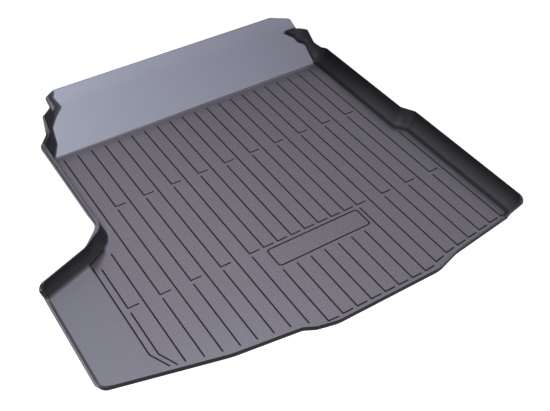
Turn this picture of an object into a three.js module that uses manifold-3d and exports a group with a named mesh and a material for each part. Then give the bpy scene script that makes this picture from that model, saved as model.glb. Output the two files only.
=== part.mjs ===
// Car boot liner: one moulded sheet with a grooved floor, a panel folded up at the back and an edge all round.
// Millimetres. +X runs across the boot, +Y from the loading edge to the back panel, +Z up.
import * as THREE from 'three';
import Module from 'manifold-3d';

// Sheet, edges and fold.
const sheet = 3.6;
const lipRise = 11;
const lipRun = 6;
const wallRise = 56;
const archRise = 52;
const brimDrop = 3;
const sideBrim = 10;
const earBrim = 6;
const softCove = 20;
const crispCove = 5;
const waveCove = 2.5;
const foldRadius = 8;
const panelTilt = THREE.MathUtils.degToRad(45);
const panelReach = 203;
const hem = 12;

// Plan of the floor, measured from the middle groove and the front of the grooved field.
const foldY = 1013;
const earSide = -711;
const earFront = 149;
const archY = 472;
const leftSide = -478;
const rightSide = 491;
const rightBay = 519;
const noseFoot = 14.7;
const noseLeft = -120;
const noseRight = 215;

// Grooves in the floor.
const pitch = 46;
const grooves = 23;
const grooveWidth = 3.6;
const grooveFloor = 2;
const grooveDepth = 1.8;
const grooveEnd = 990;
const backBreak = 711;
const frontBreak = 337;
const breakGap = 14;
const footLength = 32;
const frameWide = 308;
const frameDeep = 69;
const frameMiddle = new THREE.Vector2(16, 287.5);

// Where the bend between floor and panel begins and ends on the flat pattern.
const bendLead = foldRadius * Math.tan(panelTilt / 2);
const bendStart = foldY - bendLead;
const bendEnd = bendStart + foldRadius * panelTilt;
const up = (along) => bendEnd - bendLead + along;

// A post is one corner of the flat pattern: foot of the edge, shift of the rim, its height, rounding, brim, cove.
function post(x, s, out, rise, round = 0, steps = 0, brim = 0, cove = crispCove) {
  return { foot: new THREE.Vector2(x, s), out, rise, round, steps, brim, cove };
}

function loadingEdge() {
  return [
    post(earSide, earFront, [-4, -5.2], lipRise, 20, 8, [earBrim, 0.5]),
    post(-400, noseFoot + 55, lipRun, lipRise, 260, 4),
    post(noseLeft - 88, noseFoot + 30, lipRun, lipRise, 26, 4),
    post(noseLeft - 56, noseFoot + 13, lipRun, lipRise, 26, 4),
    post(noseLeft, noseFoot, lipRun, lipRise, 90, 4),
    post(noseRight, noseFoot, lipRun, lipRise, 90, 4),
    post(noseRight + 80, noseFoot + 24, lipRun, lipRise - 3, 90, 4),
    post(rightBay - 16, noseFoot + 51, lipRun, lipRise - 4, 24, 3, 1),
  ];
}

function rightWall() {
  return [
    post(rightBay, noseFoot + 69, [46.5, -20], wallRise - 2, 12, 8, [sideBrim, 0], softCove),
    post(rightBay, 529, [45.5, 12], wallRise, 18, 4, 0, softCove),
    post(rightSide, 562, [48.5, 24], wallRise, 18, 4, 0, softCove),
    post(rightSide, foldY - 14, [47.5, 0], wallRise, 8, 3, 0, softCove),
  ];
}

// The end walls of the panel run in a wave; each has a notch where it turns into a narrow flange.
function rightWing() {
  return [
    post(493, up(30), [12, -3], wallRise, 26, 5, 0, waveCove),
    post(491, up(73), [11, 5], wallRise - 3, 12, 4, 0, waveCove),
    post(466, up(90), [26, 7], wallRise - 17, 12, 4, 0, waveCove),
    post(457, up(110), [23, 2], wallRise - 27, 12, 4, 0, waveCove),
    post(424, up(137), [59, 0], 3, 0, 0, 0, waveCove),
    post(440, up(176), [35, 2], 2, 10, 4, 0, waveCove),
    post(402, up(panelReach - hem), [2, hem], 0, 6, 3, 0, waveCove),
  ];
}

function leftWing() {
  return [
    post(-399, up(panelReach - hem), [-1, hem], 0, 5, 3, 0, waveCove),
    post(-408, up(183), [-26, -8], 14, 10, 5, 1, waveCove),
    post(-394, up(145), [-38, -3], 15, 0, 0, 0, waveCove),
    post(-422, up(121), [-27, -4], 34, 10, 5, 0, waveCove),
    post(-447, up(91), [-21, 0], wallRise - 3, 14, 5, 2, waveCove),
    post(-453, up(41), [-18, -4], wallRise, 26, 6, 8, waveCove),
    post(leftSide, foldY - 8, [-21, 12], wallRise, 6, 4, sideBrim + 2),
  ];
}

function leftWall() {
  return [
    post(leftSide, 670, [-22.6, 0], wallRise - 1, 30, 3, sideBrim),
    post(leftSide + 1, 588, [-21, 21], wallRise - 2, 90, 10, [sideBrim, 7]),
    post(-562, 528, [-7, 23], archRise, 70, 6, 1, softCove),
    post(earSide, archY, [-7, 19], archRise, 12, 8, [2, sideBrim], softCove),
    post(earSide + 0.5, archY - 6, [-4.5, 5], lipRise + 2, 6, 3, earBrim),
  ];
}

// Point on the folded sheet for a place on the flat pattern.
function bend(x, s) {
  if (s <= bendStart) return new THREE.Vector3(x, s, 0);
  const turn = Math.min(s - bendStart, bendEnd - bendStart) / foldRadius;
  const past = Math.max(s - bendEnd, 0);
  const y = bendStart + foldRadius * Math.sin(turn) + past * Math.cos(turn);
  const z = foldRadius * (1 - Math.cos(turn)) + past * Math.sin(turn);
  return new THREE.Vector3(x, y, z);
}

// Direction out of the underside at a place on the flat pattern.
function below(s) {
  const turn = THREE.MathUtils.clamp((s - bendStart) / foldRadius, 0, panelTilt);
  return new THREE.Vector3(0, Math.sin(turn), -Math.cos(turn));
}

// Outward shift of the rim at a corner; a single number is a mitred offset of the foot line.
function rimShift(posts, i) {
  const { foot, out } = posts[i];
  if (Array.isArray(out)) return new THREE.Vector2(...out);
  const outward = (a, b) => new THREE.Vector2(b.y - a.y, a.x - b.x).normalize();
  const before = outward(posts.at(i - 1).foot, foot);
  const after = outward(foot, posts[(i + 1) % posts.length].foot);
  return before.clone().add(after).multiplyScalar(out / (1 + before.dot(after)));
}

// Points of a true arc that rounds the corner b between a and c.
function roundCorner(a, b, c, radius, steps) {
  if (!steps) return [b.clone()];
  const u = a.clone().sub(b);
  const v = c.clone().sub(b);
  const half = u.angleTo(v) / 2;
  const reach = Math.min(radius / Math.tan(half), 0.46 * u.length(), 0.46 * v.length());
  const p = b.clone().addScaledVector(u.normalize(), reach);
  const q = b.clone().addScaledVector(v.normalize(), reach);
  return Array.from({ length: steps + 1 }, (_, k) => {
    const t = k / steps;
    const middle = 2 * t * (1 - t) * Math.sin(half);
    const total = (1 - t) ** 2 + middle + t ** 2;
    const sum = p.clone().multiplyScalar((1 - t) ** 2).addScaledVector(b, middle).addScaledVector(q, t ** 2);
    return sum.divideScalar(total);
  });
}

// Foot line and rim line of the edge, point for point; z of the rim line is its height.
function edgeLine(posts) {
  const rims = posts.map((one, i) => new THREE.Vector3(...one.foot.clone().add(rimShift(posts, i)), one.rise));
  return posts.flatMap(({ foot, round, steps, brim, cove }, i) => {
    const [last, next] = [posts.at(i - 1).foot, posts[(i + 1) % posts.length].foot];
    const feet = roundCorner(last, foot, next, round, steps);
    const tops = roundCorner(rims.at(i - 1), rims[i], rims[(i + 1) % rims.length], round + sheet, steps);
    const [from, to] = [brim].flat().concat(brim).slice(0, 2);
    const brimAt = (k) => from + ((to - from) * k) / (steps || 1);
    return feet.map((place, k) => ({ foot: place, rim: tops[k], brim: brimAt(k), cove, crisp: !steps }));
  });
}

// Point on the edge between two others, with the foot bowed slightly out so that no three feet are in line.
function between(here, next, t) {
  const foot = here.foot.clone().lerp(next.foot, t);
  const rim = here.rim.clone().lerp(next.rim, t);
  const away = new THREE.Vector2(rim.x - foot.x, rim.y - foot.y).setLength(t * (1 - t));
  const [brim, cove] = ['brim', 'cove'].map((key) => THREE.MathUtils.lerp(here[key], next[key], t));
  return { foot: foot.add(away), rim, brim, cove };
}

// Adds points along the waves of the panel so that the twisted walls there stay smooth; a notch keeps its facets.
function splitWaves(line) {
  return line.flatMap((here, i) => {
    const next = line[(i + 1) % line.length];
    const waved = Math.min(here.foot.y, next.foot.y) > bendEnd && Math.abs(here.foot.x - next.foot.x) < pitch;
    const pieces = waved && !here.crisp && !next.crisp ? Math.ceil(here.rim.distanceTo(next.rim) / 12) : 1;
    return Array.from({ length: pieces }, (_, k) => between(here, next, k / pieces));
  });
}

// Adds a point wherever the foot line crosses one of the lines of the bend.
function splitAt(line, s) {
  return line.flatMap((here, i) => {
    const next = line[(i + 1) % line.length];
    if ((here.foot.y - s) * (next.foot.y - s) >= 0) return [here];
    const cut = between(here, next, (s - here.foot.y) / (next.foot.y - here.foot.y));
    cut.foot.setY(s);
    return [here, cut];
  });
}

// Section of the inner face of the edge: foot, cove, then straight to the rim.
function innerFace({ foot, rim, cove }) {
  const away = new THREE.Vector2(rim.x - foot.x, rim.y - foot.y);
  const level = Math.min(cove, (rim.z < 20 ? 0.35 : 0.55) * away.length());
  const knee = foot.clone().addScaledVector(away.clone().normalize(), level);
  const start = bend(foot.x, foot.y);
  const corner = bend(knee.x, knee.y);
  const top = bend(rim.x, rim.y);
  top.z += rim.z;
  const climb = top.clone().sub(corner);
  const end = corner.clone().addScaledVector(climb, Math.min(cove / climb.length(), 0.6));
  const arc = new THREE.QuadraticBezierCurve3(start, corner, end).getPoints(5);
  return [...arc, top];
}

// Outward direction at point j of section i, square to both the section and the run of the edge.
function outward(faces, i, j) {
  const n = faces.length;
  const along = faces[(i + 1) % n][j].clone().sub(faces[(i + n - 1) % n][j]);
  const across = faces[i][Math.min(j + 1, faces[i].length - 1)].clone().sub(faces[i][j - 1]);
  return along.cross(across).normalize();
}

// Rounded rim, then a brim that stands out a step lower; level where the edge is high.
function rimPoints(tip, climb, away, { rim, brim }) {
  const level = THREE.MathUtils.smoothstep(rim.z, 0, 8);
  const up = climb.lerp(new THREE.Vector3(0, 0, 1), level).normalize();
  const out = away.clone().setZ(away.z * (1 - level)).normalize();
  const at = (across, lift) => tip.clone().addScaledVector(out, across).addScaledVector(up, lift);
  const step = -0.2 - 0.18 * brim;
  const neck = tip.clone().addScaledVector(away, sheet).addScaledVector(up, step - brimDrop - 0.8);
  const bead = [at(0.2 * sheet, 0.9), at(0.8 * sheet, 0.9), at(sheet + 0.1 * brim, step)];
  const edge = [at(sheet + 0.9 * brim, step - 0.3), at(sheet + brim, step - 1.2), at(sheet + brim, step - brimDrop)];
  return [...bead, ...edge, neck];
}

// Outer face where the edge is only a low lip: straight down from the rim, with a crisp lower corner.
function skirtPoints({ foot, rim }) {
  const base = bend(foot.x, foot.y).setZ(-sheet);
  const run = new THREE.Vector3(rim.x - foot.x, rim.y - foot.y, 0);
  const edge = run.clone().setLength(run.length() + sheet);
  const at = (part, z) => base.clone().addScaledVector(edge, part).setZ(z - sheet);
  return [at(0, 0), at(0.5, 0), at(0.94, 0), at(1, 0.8), at(1, 4)];
}

// Full section: inner face, rim, outer face back to the underside.
function sections(line) {
  const faces = line.map(innerFace);
  return faces.map((face, i) => {
    const dirs = face.map((_, j) => (j ? outward(faces, i, j) : below(line[i].foot.y)));
    const skirt = skirtPoints(line[i]);
    const low = line[i].foot.y < bendStart ? 1 - THREE.MathUtils.smoothstep(line[i].rim.z, 16, 34) : 0;
    const outer = skirt.map((point, j) => face[j].clone().addScaledVector(dirs[j], sheet).lerp(point, low));
    const climb = face.at(-1).clone().sub(face.at(-2)).normalize();
    return [...face, ...rimPoints(face.at(-1), climb, dirs.at(-1), line[i]), ...outer.reverse()];
  });
}

// Triangles that fill the foot line between two lines of the flat pattern.
function fill(line, low, high) {
  const inside = line.map((_, i) => i).filter((i) => line[i].foot.y >= low && line[i].foot.y <= high);
  const flat = inside.map((i) => line[i].foot);
  return THREE.ShapeUtils.triangulateShape(flat, []).map((tri) => tri.map((k) => inside[k]));
}

// The sheet as one closed skin: strips along the edge, then the floor, bend and panel on both faces.
function sheetMesh() {
  const creases = Array.from({ length: 4 }, (_, k) => bendStart + (bendEnd - bendStart) * (k / 3));
  const posts = [...loadingEdge(), ...rightWall(), ...rightWing(), ...leftWing(), ...leftWall()];
  const line = creases.reduce(splitAt, splitWaves(edgeLine(posts)));
  const rows = sections(line);
  const n = rows.length;
  const m = rows[0].length;
  const index = [];
  for (let i = 0; i < n; i += 1) {
    for (let j = 0; j < m - 1; j += 1) {
      const a = i * m + j;
      const b = ((i + 1) % n) * m + j;
      index.push(a, a + 1, b, b, a + 1, b + 1);
    }
  }
  const bands = [-Infinity, ...creases, Infinity];
  bands.slice(1).forEach((high, k) => {
    for (const [a, b, c] of fill(line, bands[k], high)) {
      index.push(a * m, b * m, c * m, a * m + m - 1, c * m + m - 1, b * m + m - 1);
    }
  });
  return { points: rows.flat(), index };
}

// Solid swept along a path on the floor with the tapered section of a groove.
function grooveMesh(path, closed = false) {
  const n = path.length;
  const points = path.flatMap((here, i) => {
    const a = path[closed ? (i + n - 1) % n : Math.max(i - 1, 0)];
    const b = path[closed ? (i + 1) % n : Math.min(i + 1, n - 1)];
    const before = (i || closed ? here.clone().sub(a) : b.clone().sub(here)).normalize();
    const after = (i < n - 1 || closed ? b.clone().sub(here) : here.clone().sub(a)).normalize();
    const side = new THREE.Vector2(-before.y - after.y, before.x + after.x).divideScalar(1 + before.dot(after));
    const lip = (grooveWidth - grooveFloor) / grooveDepth;
    return [[-1, 1], [1, 1], [1, -grooveDepth], [-1, -grooveDepth]].map(([hand, z]) => {
      const half = (grooveFloor + lip * (z + grooveDepth)) / 2;
      return new THREE.Vector3(here.x + side.x * half * hand, here.y + side.y * half * hand, z);
    });
  });
  const index = [];
  for (let i = 0; i < (closed ? n : n - 1); i += 1) {
    for (let j = 0; j < 4; j += 1) {
      const a = i * 4 + j;
      const b = i * 4 + ((j + 1) % 4);
      const c = ((i + 1) % n) * 4 + j;
      const d = ((i + 1) % n) * 4 + ((j + 1) % 4);
      index.push(a, c, b, b, c, d);
    }
  }
  if (!closed) index.push(0, 1, 2, 0, 2, 3, ...[0, 2, 1, 0, 3, 2].map((k) => (n - 1) * 4 + k));
  return { points, index };
}

// Height on the page of the foot of the loading edge at a given x.
function edgeFoot(x) {
  const feet = loadingEdge().map((one) => one.foot);
  const i = Math.max(feet.findLastIndex((foot) => foot.x <= x), 0);
  const [a, b] = [feet[Math.min(i, feet.length - 2)], feet[Math.min(i, feet.length - 2) + 1]];
  return a.y + ((x - a.x) / (b.x - a.x)) * (b.y - a.y);
}

// One groove line: pieces that each end in a short foot, with a gap before the next.
function grooveLine(i) {
  const x = (i - (grooves - 1) / 2) * pitch;
  const framed = Math.abs(x - frameMiddle.x) < frameWide / 2 + pitch / 4;
  const footed = x > noseLeft - pitch / 2;
  const last = i === 0 || i === grooves - 1;
  const breaks = [];
  if (!last && i % 2 === 0) breaks.push([backBreak, backBreak - breakGap]);
  if (!last && framed) breaks.push([frontBreak, frameMiddle.y - frameDeep / 2 - breakGap]);
  if (!last && !framed && i % 2) breaks.push([frontBreak, frontBreak - breakGap]);
  const paths = [];
  let top = last ? archY + 71 : grooveEnd;
  for (const [y, next] of breaks) {
    paths.push([new THREE.Vector2(x, top), new THREE.Vector2(x, y), new THREE.Vector2(x + footLength, y)]);
    top = next;
  }
  const toe = x + (last ? footLength / 3 : footLength);
  const end = footed ? edgeFoot(toe) + (x > noseRight ? 6.5 : 10.5) : edgeFoot(x) + 13;
  const slant = (edgeFoot(toe + footLength / 2) - edgeFoot(x)) / 2;
  paths.push([new THREE.Vector2(x, top), new THREE.Vector2(x, end)]);
  if (footed) paths.at(-1).push(new THREE.Vector2(toe, end + slant));
  return paths;
}

// Two extra lines beside the field, cut short by a slanting toe along the pocket.
function pocketLines() {
  const first = -(grooves - 1) / 2 * pitch;
  const [outer, inner] = [first - 66, first - pitch];
  return [
    [[outer, archY + 51], [outer, 176], [outer + 27, 119]],
    [[inner, archY + 31], [inner, frontBreak + 3], [inner + footLength, frontBreak + 3]],
    [[inner, frontBreak - breakGap], [inner, 166], [inner + 25, 112]],
  ].map((path) => path.map(([x, y]) => new THREE.Vector2(x, y)));
}

// Rounded outline groove that sits between the broken lines.
function frameLine() {
  const [w, d] = [frameWide / 2, frameDeep / 2];
  const corners = [[-w, -d], [w, -d], [w, d], [-w, d]].map(([x, y]) => new THREE.Vector2(x, y).add(frameMiddle));
  return corners.flatMap((here, i) => roundCorner(corners.at(i - 1), here, corners[(i + 1) % 4], 9, 4));
}

function toSolid(wasm, { points, index }) {
  const vertProperties = new Float32Array(points.flatMap((p) => p.toArray()));
  return new wasm.Manifold(new wasm.Mesh({ numProp: 3, vertProperties, triVerts: new Uint32Array(index) }));
}

function toGeometry(solid) {
  const mesh = solid.getMesh();
  const geometry = new THREE.BufferGeometry();
  geometry.setAttribute('position', new THREE.BufferAttribute(Float32Array.from(mesh.vertProperties), 3));
  geometry.setIndex(Array.from(mesh.triVerts));
  return geometry;
}

async function buildLiner() {
  const wasm = await Module();
  wasm.setup();
  const lines = Array.from({ length: grooves }, (_, i) => grooveLine(i)).flat().concat(pocketLines());
  const cuts = lines.map((path) => grooveMesh(path)).concat(grooveMesh(frameLine(), true));
  const solid = cuts.reduce((body, cut) => body.subtract(toSolid(wasm, cut)), toSolid(wasm, sheetMesh()));
  const geometry = toGeometry(solid);
  geometry.computeBoundingBox();
  const { min, max } = geometry.boundingBox;
  geometry.translate(-(min.x + max.x) / 2, -(min.y + max.y) / 2, -min.z);
  geometry.computeVertexNormals();
  const material = new THREE.MeshStandardMaterial({ name: 'rubber', color: 0x67636b, roughness: 0.6, metalness: 0 });
  const mesh = new THREE.Mesh(geometry, material);
  mesh.name = 'boot_liner';
  return mesh;
}

const part = new THREE.Group();
part.name = 'car_boot_liner';
part.add(await buildLiner());

export default part;
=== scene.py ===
import math

import bpy
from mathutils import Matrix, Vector


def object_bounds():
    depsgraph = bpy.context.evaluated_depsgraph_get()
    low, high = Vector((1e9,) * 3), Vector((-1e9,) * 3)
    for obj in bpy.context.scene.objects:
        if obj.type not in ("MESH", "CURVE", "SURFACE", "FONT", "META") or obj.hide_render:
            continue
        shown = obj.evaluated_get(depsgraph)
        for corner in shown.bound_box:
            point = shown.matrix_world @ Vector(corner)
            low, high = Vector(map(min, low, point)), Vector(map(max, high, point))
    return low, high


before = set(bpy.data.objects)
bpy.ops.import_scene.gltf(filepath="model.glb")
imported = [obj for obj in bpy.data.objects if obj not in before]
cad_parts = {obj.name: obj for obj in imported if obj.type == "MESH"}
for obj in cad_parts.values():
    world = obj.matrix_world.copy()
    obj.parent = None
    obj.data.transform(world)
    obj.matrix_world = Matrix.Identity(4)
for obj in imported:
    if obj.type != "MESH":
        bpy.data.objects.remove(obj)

cad_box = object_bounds()
RIGHT, BACK = cad_box[1][:2]

# Places are in metres, in the frame of the solid. Heights and distances for the tone ramps are in
# millimetres, and a ramp runs over this many of them.
MM = 1000.0
RAMP_SPAN = 60.0

# The camera of the photograph: its place, how far it looks down and to the right in degrees, and its lens.
CAMERA_PLACE = (-0.93068, -1.66316, 1.71127)
CAMERA_DOWN = 42.934
CAMERA_TURN = 32.688
LENS = 56.04
SENSOR_WIDTH = 36.0

# The studio: its white floor, the faint light around it, and the softboxes.
STUDIO_HALF = 9.0
STUDIO_FLOOR_Z = -0.0004
STUDIO_GLOW = 0.86
STUDIO_SEEN = (0.4, 0.4, 0.4, 1.0)
STUDIO_BOUNCE = (0.25, 0.25, 0.25, 1.0)
WHITE = (1.0, 1.0, 1.0, 1.0)
FAINT_LIGHT = (0.9, 0.95, 1.0, 1.0)
FAINT_STRENGTH = 0.02
SOFTBOX_SIDE = 0.7
# Name, place, power in watts and tint of each softbox.
SOFTBOXES = (
    ("key_box", (-1.136, -1.136, 1.784), 49.0, (1.0, 0.96, 1.0)),
    ("front_box", (0.0, -0.899, 2.225), 16.0, (0.92, 1.0, 1.0)),
    ("right_box", (1.136, -1.136, 1.784), 8.5, (0.88, 0.94, 1.0)))

# Bends under this angle in degrees are shaded smooth, and large flat faces lead the shading of their bends.
SOFT_BEND = 38.0
FLAT_FACE_WEIGHT = 100


class Sock:
    """A shader socket that takes part in ordinary sums."""

    def __init__(self, tree, socket):
        self.tree = tree
        self.socket = socket

    def maths(self, operation, *terms, clamp=False):
        """A Math node on terms that are sockets or numbers."""
        node = self.tree.nodes.new("ShaderNodeMath")
        node.operation = operation
        node.use_clamp = clamp
        for place, term in zip(node.inputs, terms):
            put(place, term)
        return Sock(self.tree, node.outputs[0])

    def __add__(self, other):
        return self.maths("ADD", self, other)

    __radd__ = __add__

    def __mul__(self, other):
        return self.maths("MULTIPLY", self, other)

    __rmul__ = __mul__

    def __sub__(self, other):
        return self.maths("SUBTRACT", self, other)

    def __rsub__(self, other):
        return self.maths("SUBTRACT", other, self)

    def __truediv__(self, other):
        return self.maths("DIVIDE", self, other)

    def larger(self, other):
        return self.maths("MAXIMUM", self, other)

    def smaller(self, other):
        return self.maths("MINIMUM", self, other)

    def clamped(self):
        return self.maths("ADD", self, 0.0, clamp=True)


def put(place, value):
    """Links a socket to a node's input, or sets the input to a plain value."""
    if isinstance(value, Sock):
        value.tree.links.new(value.socket, place)
    else:
        place.default_value = value


class Graph:
    """A node tree whose nodes all come from one method."""

    def __init__(self, tree):
        self.tree = tree

    def node(self, kind, settings=None, stops=(), output=0, **values):
        """Adds a node with its settings, its ramp stops and its inputs, by name or as _3 for number 3."""
        node = self.tree.nodes.new(kind)
        for key, value in (settings or {}).items():
            setattr(node, key, value)
        if stops:
            elements = node.color_ramp.elements
            while len(elements) < len(stops):
                elements.new(0.5)
            for element, (place, colour) in zip(elements, stops):
                element.position = place
                element.color = colour
        for key, value in values.items():
            number = key[1:]
            put(node.inputs[int(number) if number.isdigit() else key.replace("_", " ")], value)
        return Sock(self.tree, node.outputs[output]) if node.outputs else None


class Finish(Graph):
    """A material, with the shader and the output that it starts with."""

    def __init__(self, name):
        self.material = bpy.data.materials.new(name)
        self.material.use_nodes = True
        super().__init__(self.material.node_tree)
        self.shader = self.tree.nodes["Principled BSDF"]
        self.surface = self.tree.nodes["Material Output"].inputs["Surface"]

    def feed(self, **values):
        """Puts values on the inputs of the shader."""
        for key, value in values.items():
            put(self.shader.inputs[key.replace("_", " ")], value)

    def parts(self, vector):
        """The X, Y and Z of a vector."""
        split = self.node("ShaderNodeSeparateXYZ", Vector=vector)
        return [Sock(self.tree, place) for place in split.socket.node.outputs]

    def mix(self, part, low, high, blend="MIX"):
        """Two colours by a part, on the inputs that a Mix node has for colours."""
        settings = {"data_type": "RGBA", "blend_type": blend}
        return self.node("ShaderNodeMix", settings, output=2, _0=part, _6=low, _7=high)

    def multiply(self, colour, shade, part):
        """A colour times a shade, by a part."""
        return self.mix(part, colour, shade, "MULTIPLY")

    def step(self, value, span):
        """Goes softly from zero to one as the value goes from the first to the second end of the span."""
        low, high = span
        soft = {"interpolation_type": "SMOOTHSTEP"}
        return self.node("ShaderNodeMapRange", soft, Value=value, From_Min=low, From_Max=high)

    def between(self, value, rise, fall):
        """One between two spans, and softly zero outside them."""
        return self.step(value, rise) * self.step(value, fall)

    def slide(self, value, span, ends):
        """Goes evenly from one end to the other as the value crosses the span."""
        low, high = span
        first, last = ends
        return self.node(
            "ShaderNodeMapRange", Value=value, From_Min=low, From_Max=high, To_Min=first, To_Max=last)

    def graded(self, stops, distance):
        """The colour of a ramp at a distance in millimetres."""
        return self.node("ShaderNodeValToRGB", stops=stops, Fac=distance * (1.0 / RAMP_SPAN))


# The faint violet of the darker rubber, as parts of red.
VIOLET = (1.0, 0.96, 1.13)


def tone(red, green=None, blue=None):
    """A linear colour; one number alone is taken in the faint violet of the rubber."""
    if green is None:
        return (*(red * part for part in VIOLET), 1.0)
    return (red, green, blue, 1.0)


def shade(part):
    """A grey that a tone is multiplied by."""
    return (part, part, part, 1.0)


def ramp(paint, *stops, start=0.0):
    """Ramp stops from pairs of a distance in millimetres and a number for tone or shade."""
    return [((distance - start) / RAMP_SPAN, paint(number)) for distance, number in stops]


# Lines of the liner. The panel rises by 45 degrees behind its fold; the crease that shows is a little askew.
SHEET = 0.0036
FOLD_Y = BACK - 0.14622
PANEL_RISE = math.sqrt(0.5)
CREASE_SKEW = 0.005
CREASE_SHIFT = 0.001
PANEL_START = (-0.002, 0.003)
# The foot of the right wall, before and behind its jog.
JOG_Y = (-0.053, -0.020)
RIGHT_FOOT_X = (RIGHT - 0.05166, RIGHT - 0.07966)
# The corner of the wheel arch, and how far the two stretches of its wall turn from the left side.
ARCH_CORNER = (-0.482, -0.054)
ARCH_TURNS = (math.radians(69.39), math.radians(54.77))

# Noises of the rubber: its fine grain, and its large faint patches.
GRAIN = {"Scale": 290.0, "Detail": 3.0, "Roughness": 0.65}
PATCHES = {"Scale": 7.0, "Detail": 4.0, "Roughness": 0.55}
NOISE_MIDDLE = 0.5

# Roughness and relief. The panel is smoother than the floor, and loses the larger part of the grain.
RUBBER_ROUGHNESS = 0.52
PANEL_SMOOTHER = 0.12
GRAIN_ROUGHNESS = 0.10
PATCH_ROUGHNESS = 0.06
WALL_ROUGHER = 0.05
WALL_GLOSS = 0.12
PANEL_RELIEF_LOST = 0.8
RELIEF_STRENGTH = 0.5
RELIEF_DEPTH = 0.0005

# Spans below are the two places between which a tone gives way to the next, in the order of the change.
# Floor: two tones of its patches, painted shade at the right, and a painted cool sheen in the pocket and at
# the front left.
FLOOR_PATCHES = (tone(0.160, 0.144, 0.174), tone(0.183, 0.164, 0.197))
FLOOR_RIGHT_SHADED = tone(0.124, 0.114, 0.137)
FLOOR_RIGHT_X = (-0.35, 0.65)
FLOOR_COOL_SHEEN = tone(0.158, 0.161, 0.192)
COOL_POCKET_X = (-0.40, -0.58)
COOL_FRONT_Y = (-0.36, -0.50)
COOL_FRONT_X = (-0.1, -0.3)
# A strip of painted light on the floor along the left wall.
STRIP_LIGHT = 1.3
STRIP_X = (-0.380, -0.400)
STRIP_Y = (0.02, 0.06)
# Painted shade on the floor by distance in front of the crease, with a thin painted highlight right at it.
NEAR_CREASE = ramp(
    shade, (0.0, 1.35), (3.0, 0.97), (6.5, 0.68), (10.0, 0.57), (20.0, 0.66), (32.0, 0.78), (50.0, 0.92))

# Panel: its tones at the left and right, a painted sheen fading to the right, and more painted sheen towards
# its free edge.
PANEL_LEFT = tone(0.232, 0.247, 0.314)
PANEL_RIGHT = tone(0.168, 0.166, 0.217)
PANEL_RIGHT_X = (-0.6, 0.75)
PANEL_EDGE_SHEEN = 1.13
PANEL_EDGE_Z = (0.095, 0.140)

# Painted shade on the floor at the right wall, from this many millimetres behind its foot.
BEHIND_FOOT = 10.0
NEAR_RIGHT_WALL = ramp(
    shade, (-6.0, 0.18), (-3.0, 0.32), (0.0, 0.47), (2.5, 0.60), (6.0, 0.70), (12.0, 0.80), (20.0, 0.87),
    (40.0, 1.0), start=-BEHIND_FOOT)

# Painted shade in the corner of the wheel arch, by part of its reach. The reach shrinks to the right, and
# the painted shade fades up the wall.
NEAR_ARCH = [(part, shade(number)) for part, number in (
    (0.0, 0.12), (0.2, 0.30), (0.4, 0.55), (0.6, 0.72), (0.85, 0.92), (1.0, 1.0))]
ARCH_REACH_X = (-0.495, -0.435)
ARCH_REACH = (0.045, 0.008)
ARCH_FROM_X = (-0.4975, -0.4955)
ARCH_TO_X = (-0.428, -0.440)
ARCH_TO_Y = (0.01, -0.01)
ARCH_HEIGHT = (8.0, 3.0)

# Painted shade along the edges of the grooves: how far it reaches, how much the surface has to turn there,
# below which height it lies, and how strong it is at the left and right.
GROOVE_EDGE_SHADE = tone(0.018, 0.015, 0.020)
GROOVE_EDGE_REACH = 0.004
GROOVE_EDGE_TURN = (0.999, 0.95)
GROOVE_EDGE_HEIGHT = (0.3, 0.1)
GROOVE_EDGE_X = (-0.4, 0.1)
GROOVE_EDGE_PART = (0.60, 0.92)

# Dark specks of the grain: from which level of the noise, and how strong they are at the left and right.
SPECK = tone(0.060, 0.053, 0.066)
SPECK_LEVEL = (0.42, 0.60)
SPECK_X = (-0.2, 0.3)
SPECK_PART = (0.42, 0.62)
SPECKS_LOST_ON_PANEL = 0.85
SPECKS_LOST_WHERE_COOL = 0.5

# Tones of the near-black walls and of the lips by height above the floor, with painted shade and painted
# light in them.
# Right wall: painted shade in the crease at its foot, and darker towards the rim.
RIGHT_WALL = ramp(
    tone, (0.0, 0.060), (0.5, 0.040), (1.5, 0.021), (3.3, 0.010), (5.0, 0.015), (7.5, 0.038), (9.5, 0.045),
    (14.0, 0.044), (20.0, 0.037), (28.0, 0.029), (35.0, 0.019), (43.0, 0.011), (52.0, 0.005))
# Arch wall: painted shade, darker up the wall.
ARCH_WALL = ramp(
    tone, (0.0, 0.115), (1.0, 0.085), (3.0, 0.053), (6.0, 0.033), (9.0, 0.022), (13.0, 0.024),
    (20.0, 0.027), (30.0, 0.019), (42.0, 0.013), (50.0, 0.010))
# Left wall: painted shade in the crease at its foot, and painted light on the step at its top.
LEFT_WALL = ramp(tone, (0.0, 0.19), (2.5, 0.185), (5.0, 0.06), (12.0, 0.013), (49.0, 0.013), (51.5, 0.16))
# Pocket lip: painted shade on its inner face.
POCKET_LIP = ramp(tone, (0.0, 0.150), (0.6, 0.128), (2.0, 0.104), (5.0, 0.082), (10.0, 0.070), (11.5, 0.048))
FRONT_LIP = ramp(tone, (0.0, 0.15), (1.5, 0.135), (6.0, 0.14), (12.0, 0.13))
FRONT_SKIRT = tone(0.012)
# Where one stretch of the rim gives way to the next.
ARCH_TO_LEFT_Y = (-0.03, 0.03)
LEFT_TO_PANEL_Y = (FOLD_Y - 0.01, FOLD_Y + 0.01)
ARCH_TO_POCKET_Y = (-0.10, -0.14)
LEFT_TO_RIGHT_X = (-0.1, 0.1)
FRONT_Y = (-0.40, -0.44)
FRONT_X = (0.592, 0.586)
FACING_FRONT = (-0.3, -0.7)
# Painted shade on the right wall from front to back, each with the span behind which it holds.
RIGHT_WALL_SHADES = (
    ((0.05, 0.38), 0.40),
    ((FOLD_Y - 0.006, FOLD_Y + 0.010), 0.95),
    ((FOLD_Y + 0.040, FOLD_Y + 0.070), 0.55))
# The jog of the right wall has painted shade over the middle of its height.
JOG_SHADE = 0.6
JOG_SHADE_Y = ((-0.062, -0.048), (-0.014, -0.026))
JOG_SHADE_HEIGHT = ((2.0, 7.0), (42.0, 22.0))
JOG_SHADE_X = (0.54, 0.56)
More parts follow.
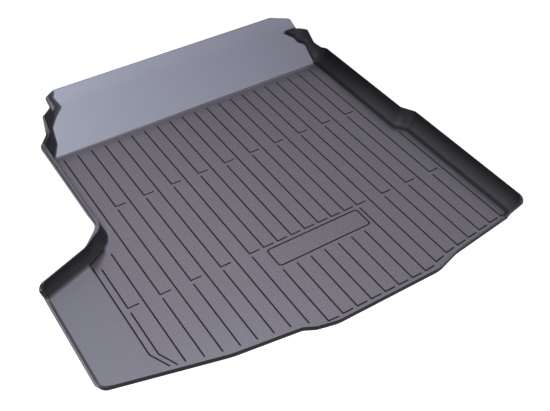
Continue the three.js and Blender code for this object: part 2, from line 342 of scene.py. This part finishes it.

# Tops of the rim, painted light where they face up. Behind the arch a painted shade line and a painted
# highlight line run along the brim of the left wall.
LIT_RIM_TOP = tone(0.165)
BRIM_LINES = (((-0.4258, -0.4272), tone(0.035)), ((-0.4296, -0.4310), tone(0.18)))
BRIM_Y = (0.03, 0.05)
# Painted shade on the rim at the pocket.
POCKET_TOP = tone(0.055)
POCKET_TOP_Y = (-0.12, -0.14)
POCKET_TOP_X = ((-0.6390, -0.6375), (-0.60, -0.62))
# Painted shade on the rim at the right.
RIGHT_TOP = tone(0.06)
RIGHT_TOP_X = (0.35, 0.45)

# The walls start this high, where the surface leans this much. The right tab of the panel is no wall.
WALL_HEIGHT = (0.05, 0.5)
WALL_LEAN = (0.0, 0.03)
TAB_Z = (0.104, 0.108)
TAB_HEIGHT = (3.6, 2.4)
TAB_X = (0.1, 0.2)
# The top of the rim looks up, or at the left end of the panel it looks the way that the panel does.
RIM_LEVEL = (0.8, 0.95)
RIM_HEIGHT = (6.0, 8.0)
PANEL_RIM_Y = (FOLD_Y, FOLD_Y + 0.02)
PANEL_RIM_X = (0.1, 0.0)
# The sides and the underside lie below the top of the sheet, and the bottoms of the grooves within it;
# inside the grooves both carry painted shade.
UNDER_HEIGHT = (-0.2, -0.6)
UNDERSIDE = tone(0.045, 0.039, 0.050)
GROOVE_Z = ((SHEET - 0.00005, SHEET - 0.0004), (0.0010, 0.0016))
GROOVE_BOTTOM_SHADE = tone(0.003, 0.002, 0.004)


class Rubber(Finish):
    """The moulded rubber, with the places on the liner that its tones go by."""

    def __init__(self):
        super().__init__("moulded_rubber")
        place = self.node("ShaderNodeTexCoord", output="Object")
        self.x, self.y, self.z = self.parts(place)
        self.normal = self.node("ShaderNodeNewGeometry", output="Normal")
        self.backward, self.upward = self.parts(self.normal)[1:]
        self.past_crease = self.y + CREASE_SKEW * self.x + (CREASE_SHIFT - FOLD_Y)
        self.panel = self.step(self.past_crease, PANEL_START)
        above_panel = (self.z - SHEET - (self.y - FOLD_Y)) * PANEL_RISE
        self.height = (self.z - SHEET).smaller(above_panel) * MM
        self.grain = self.node("ShaderNodeTexNoise", Vector=place, **GRAIN)
        self.patches = self.node("ShaderNodeTexNoise", Vector=place, **PATCHES)
        # Where the floor has a painted cool sheen: the pocket and the front left.
        front_left = self.step(self.y, COOL_FRONT_Y) * self.step(self.x, COOL_FRONT_X)
        self.cool = self.step(self.x, COOL_POCKET_X).larger(front_left)
        self.arch_dark, self.arch_corner = self.arch_shade()

    def arch_shade(self):
        """The painted shade at the foot of the arch wall, and the part of the liner that it lies on."""
        corner_x, corner_y = ARCH_CORNER
        first, second = [
            (self.x - corner_x) * math.cos(turn) - (self.y - corner_y) * math.sin(turn)
            for turn in ARCH_TURNS]
        reach = self.slide(self.x, ARCH_REACH_X, ARCH_REACH)
        dark = self.node("ShaderNodeValToRGB", stops=NEAR_ARCH, Fac=first.larger(second) / reach)
        corner = self.between(self.x, ARCH_FROM_X, ARCH_TO_X) * self.step(self.y, ARCH_TO_Y)
        return dark, corner

    def right_wall_shade(self):
        """The painted shade at the foot of the right wall, which follows its jog."""
        foot = self.slide(self.y, JOG_Y, RIGHT_FOOT_X)
        return self.graded(NEAR_RIGHT_WALL, (foot - self.x) * MM + BEHIND_FOOT)

    def floor_tone(self):
        """Patchy violet grey, with painted shade to the right and in front of the crease, and a painted cool
        sheen in the pocket.
        """
        ground = self.mix(self.patches, *FLOOR_PATCHES)
        # Painted shade, darker towards the right.
        ground = self.mix(self.step(self.x, FLOOR_RIGHT_X), ground, FLOOR_RIGHT_SHADED)
        # A painted cool sheen in the pocket and at the front left.
        ground = self.mix(self.cool, ground, FLOOR_COOL_SHEEN)
        # Painted light along the left wall.
        strip = self.step(self.x, STRIP_X) * self.step(self.y, STRIP_Y)
        ground = self.multiply(ground, shade(STRIP_LIGHT), strip)
        # Painted shade in front of the crease, and a thin painted highlight at it.
        return self.multiply(ground, self.graded(NEAR_CREASE, self.past_crease * -MM), 1.0)

    def panel_tone(self):
        """Grey with a bluish painted sheen, which fades to the right and grows towards the free edge."""
        # Painted sheen, fading to the right.
        slope = self.mix(self.step(self.x, PANEL_RIGHT_X), PANEL_LEFT, PANEL_RIGHT)
        # More painted sheen towards the free edge.
        return self.multiply(slope, shade(PANEL_EDGE_SHEEN), self.step(self.z, PANEL_EDGE_Z))

    def groove_edges(self, ground):
        """Darkens the floor beside each groove with painted shade, where a softened surface turns away from
        the true one.
        """
        soft = self.node("ShaderNodeBevel", {"samples": 4}, Radius=GROOVE_EDGE_REACH)
        dot = {"operation": "DOT_PRODUCT"}
        alike = self.node("ShaderNodeVectorMath", dot, output="Value", _0=soft, _1=self.normal)
        edge = self.step(alike, GROOVE_EDGE_TURN) * self.step(self.height, GROOVE_EDGE_HEIGHT)
        left, right = GROOVE_EDGE_PART
        strength = left + (right - left) * self.step(self.x, GROOVE_EDGE_X)
        return self.mix(edge * strength, ground, GROOVE_EDGE_SHADE)

    def specks(self, ground):
        """Speckles the ground with the dark side of its grain."""
        cover = (1.0 - SPECKS_LOST_ON_PANEL * self.panel) * (1.0 - SPECKS_LOST_WHERE_COOL * self.cool)
        left, right = SPECK_PART
        strength = left + (right - left) * self.step(self.x, SPECK_X)
        return self.mix(self.step(self.grain, SPECK_LEVEL) * cover * strength, ground, SPECK)

    def ground_tone(self):
        """Floor and panel together, with the painted shade at the walls and at the groove edges, and the
        specks.
        """
        ground = self.mix(self.panel, self.floor_tone(), self.panel_tone())
        # Painted shade on the floor along the right wall.
        ground = self.multiply(ground, self.right_wall_shade(), 1.0 - self.panel)
        # Painted shade in the corner of the wheel arch.
        ground = self.multiply(ground, self.arch_dark, self.arch_corner)
        return self.specks(self.groove_edges(ground))

    def right_wall_tone(self):
        """The tones of the right wall by height, with painted shade that changes along its length."""
        along = shade(1.0)
        for span, part in RIGHT_WALL_SHADES:
            along = self.mix(self.step(self.y, span), along, shade(part))
        # Painted shade along the right wall.
        return self.multiply(self.graded(RIGHT_WALL, self.height), along, 1.0)

    def wall_tone(self):
        """Near-black walls and grey lips, each stretch of the rim with tones of its own that hold painted
        shade and light.
        """
        arch, left, pocket, lip = [
            self.graded(stops, self.height) for stops in (ARCH_WALL, LEFT_WALL, POCKET_LIP, FRONT_LIP)]
        wall = self.mix(self.step(self.y, ARCH_TO_LEFT_Y), arch, left)
        wall = self.mix(self.step(self.y, LEFT_TO_PANEL_Y), wall, arch)
        wall = self.mix(self.step(self.y, ARCH_TO_POCKET_Y), wall, pocket)
        wall = self.mix(self.step(self.x, LEFT_TO_RIGHT_X), wall, self.right_wall_tone())
        front = self.step(self.y, FRONT_Y) * self.step(self.x, FRONT_X)
        wall = self.mix(front, wall, lip)
        wall = self.mix(self.step(self.backward, FACING_FRONT) * front, wall, FRONT_SKIRT)
        # Painted shade at the foot of the arch wall, fading up it.
        wall = self.multiply(wall, self.arch_dark, self.arch_corner * self.step(self.height, ARCH_HEIGHT))
        # Painted shade over the middle of the jog.
        jog = self.between(self.y, *JOG_SHADE_Y) * self.step(self.x, JOG_SHADE_X)
        jog = jog * self.between(self.height, *JOG_SHADE_HEIGHT)
        return self.multiply(wall, shade(JOG_SHADE), jog)

    def rim_tone(self):
        """Grey top of the rim with painted light, painted shade and highlight lines on the left brim, and
        painted shade at the pocket and at the right.
        """
        top = LIT_RIM_TOP
        # Painted shade and highlight lines along the left brim.
        for span, line in BRIM_LINES:
            top = self.mix(self.step(self.x, span) * self.step(self.y, BRIM_Y), top, line)
        pocket = self.step(self.y, POCKET_TOP_Y) * self.between(self.x, *POCKET_TOP_X)
        # Painted shade on the rim at the pocket.
        top = self.mix(pocket, top, POCKET_TOP)
        # Painted shade on the rim at the right.
        return self.mix(self.step(self.x, RIGHT_TOP_X), top, RIGHT_TOP)

    def wall_part(self):
        """One on the walls."""
        tab = self.step(self.z, TAB_Z) * self.step(self.height, TAB_HEIGHT) * self.step(self.x, TAB_X)
        steep = self.step(self.height, WALL_HEIGHT) * self.step(1.0 - self.upward, WALL_LEAN)
        return steep * (1.0 - tab)

    def rim_part(self):
        """One on the top of the rim, which is painted light."""
        beside_panel = self.step(self.y, PANEL_RIM_Y) * self.step(self.x, PANEL_RIM_X)
        square = (self.upward - self.backward) * PANEL_RISE * beside_panel
        return self.step(self.upward.larger(square), RIM_LEVEL) * self.step(self.height, RIM_HEIGHT)


def moulded_rubber():
    """Grey-violet moulded rubber: grained floor, smoother panel, near-black walls, with painted shade, light
    and sheen in its creases, grooves, rim and panel.
    """
    rubber = Rubber()
    wall = rubber.wall_part()
    rim = rubber.rim_part()
    under = rubber.step(rubber.height, UNDER_HEIGHT)
    groove = rubber.between(rubber.z, *GROOVE_Z)
    # Near-black walls with painted shade, and tops of the rim with painted light.
    dark = rubber.mix(rim, rubber.wall_tone(), rubber.rim_tone())
    # Dark sides and underside, painted shade inside the grooves.
    dark = rubber.mix(under, dark, UNDERSIDE)
    # Painted shade in the bottoms of the grooves.
    dark = rubber.mix(groove, dark, GROOVE_BOTTOM_SHADE)

    smooth = rubber.panel * (1.0 - wall)
    rough = RUBBER_ROUGHNESS - PANEL_SMOOTHER * smooth
    rough = rough + GRAIN_ROUGHNESS * (rubber.grain - NOISE_MIDDLE)
    rough = rough + PATCH_ROUGHNESS * (rubber.patches - NOISE_MIDDLE)
    relief = rubber.node(
        "ShaderNodeBump", Strength=RELIEF_STRENGTH, Distance=RELIEF_DEPTH,
        Height=rubber.grain * (1.0 - PANEL_RELIEF_LOST * smooth))
    rubber.feed(Base_Color=rubber.ground_tone(), Roughness=rough, Normal=relief)
    ground_shader = Sock(rubber.tree, rubber.shader.outputs[0])
    dark_shader = rubber.node(
        "ShaderNodeBsdfPrincipled", Base_Color=dark, Roughness=rough + WALL_ROUGHER, Normal=relief,
        Specular_IOR_Level=WALL_GLOSS)
    part = wall.larger(rim).larger(under).larger(groove)
    put(rubber.surface, rubber.node("ShaderNodeMixShader", _0=part, _1=ground_shader, _2=dark_shader))
    return rubber.material


def soft_bends():
    """A node group that shades gentle bends smooth and keeps the sharper edges."""
    group = bpy.data.node_groups.new("soft_bends", "GeometryNodeTree")
    for way in ("INPUT", "OUTPUT"):
        group.interface.new_socket("Geometry", in_out=way, socket_type="NodeSocketGeometry")
    graph = Graph(group)
    angle = graph.node("GeometryNodeInputMeshEdgeAngle")
    less = {"operation": "LESS_THAN"}
    gentle = graph.node("FunctionNodeCompare", less, _0=angle, _1=math.radians(SOFT_BEND))
    faces = graph.node("GeometryNodeSetShadeSmooth", _0=graph.node("NodeGroupInput"))
    edges = graph.node("GeometryNodeSetShadeSmooth", {"domain": "EDGE"}, _0=faces, _2=gentle)
    graph.node("NodeGroupOutput", _0=edges)
    return group


def dress_liner():
    """Gives the solid its finish, and clean shading on flat faces and bends."""
    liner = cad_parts["boot_liner"]
    liner.data.materials.clear()
    liner.data.materials.append(moulded_rubber())
    liner.modifiers.new("soft_bends", "NODES").node_group = soft_bends()
    normals = liner.modifiers.new("even_normals", "WEIGHTED_NORMAL")
    normals.keep_sharp = True
    normals.weight = FLAT_FACE_WEIGHT


def seen_rays(graph):
    """One for rays of the camera, of reflections and through glass, zero for bounced light."""
    path = graph.node("ShaderNodeLightPath").socket.node
    camera_ray, glossy, through = [
        Sock(graph.tree, path.outputs[name])
        for name in ("Is Camera Ray", "Is Glossy Ray", "Is Transmission Ray")]
    return (camera_ray + glossy + through).clamped()


def studio_floor():
    """A floor that looks white and throws little light back at the liner."""
    finish = Finish("studio_floor")
    finish.tree.nodes.remove(finish.shader)
    glow = finish.node("ShaderNodeEmission", Color=WHITE, Strength=STUDIO_GLOW)
    pale = finish.node("ShaderNodeBsdfDiffuse", Color=STUDIO_SEEN)
    white = finish.node("ShaderNodeAddShader", _0=glow, _1=pale)
    grey = finish.node("ShaderNodeBsdfDiffuse", Color=STUDIO_BOUNCE)
    both = finish.node("ShaderNodeMixShader", _0=seen_rays(finish), _1=grey, _2=white)
    put(finish.surface, both)
    signs = ((-1, -1), (1, -1), (1, 1), (-1, 1))
    corners = [(x * STUDIO_HALF, y * STUDIO_HALF, STUDIO_FLOOR_Z) for x, y in signs]
    mesh = bpy.data.meshes.new("studio_floor")
    mesh.from_pydata(corners, [], [(0, 1, 2, 3)])
    mesh.materials.append(finish.material)
    plane = bpy.data.objects.new("studio_floor", mesh)
    bpy.context.scene.collection.objects.link(plane)


def surround():
    """A white background where it is seen, and a faint cool light for what it lights."""
    world = bpy.data.worlds.new("studio")
    bpy.context.scene.world = world
    world.use_nodes = True
    nodes = world.node_tree.nodes
    nodes.remove(nodes["Background"])
    graph = Graph(world.node_tree)
    faint = graph.node("ShaderNodeBackground", Color=FAINT_LIGHT, Strength=FAINT_STRENGTH)
    white = graph.node("ShaderNodeBackground", Color=WHITE, Strength=1.0)
    both = graph.node("ShaderNodeMixShader", _0=seen_rays(graph), _1=faint, _2=white)
    put(nodes["World Output"].inputs["Surface"], both)


def softbox(name, place, power, tint):
    """A square lamp that points at the middle of the liner."""
    lamp = bpy.data.lights.new(name, "AREA")
    lamp.shape = "SQUARE"
    lamp.size = SOFTBOX_SIDE
    lamp.energy = power
    lamp.color = tint
    box = bpy.data.objects.new(name, lamp)
    box.location = place
    box.rotation_euler = (-Vector(place)).to_track_quat("-Z", "Y").to_euler()
    bpy.context.scene.collection.objects.link(box)


def camera():
    """The camera of the photograph."""
    lens = bpy.data.cameras.new("camera")
    lens.lens = LENS
    lens.sensor_width = SENSOR_WIDTH
    lens.sensor_fit = "HORIZONTAL"
    view = bpy.data.objects.new("camera", lens)
    view.location = CAMERA_PLACE
    view.rotation_euler = (math.radians(90 - CAMERA_DOWN), 0, math.radians(-CAMERA_TURN))
    bpy.context.scene.collection.objects.link(view)
    bpy.context.scene.camera = view


camera()
dress_liner()
studio_floor()
surround()
for light in SOFTBOXES:
    softbox(*light)
bpy.context.scene.view_settings.view_transform = "Standard"
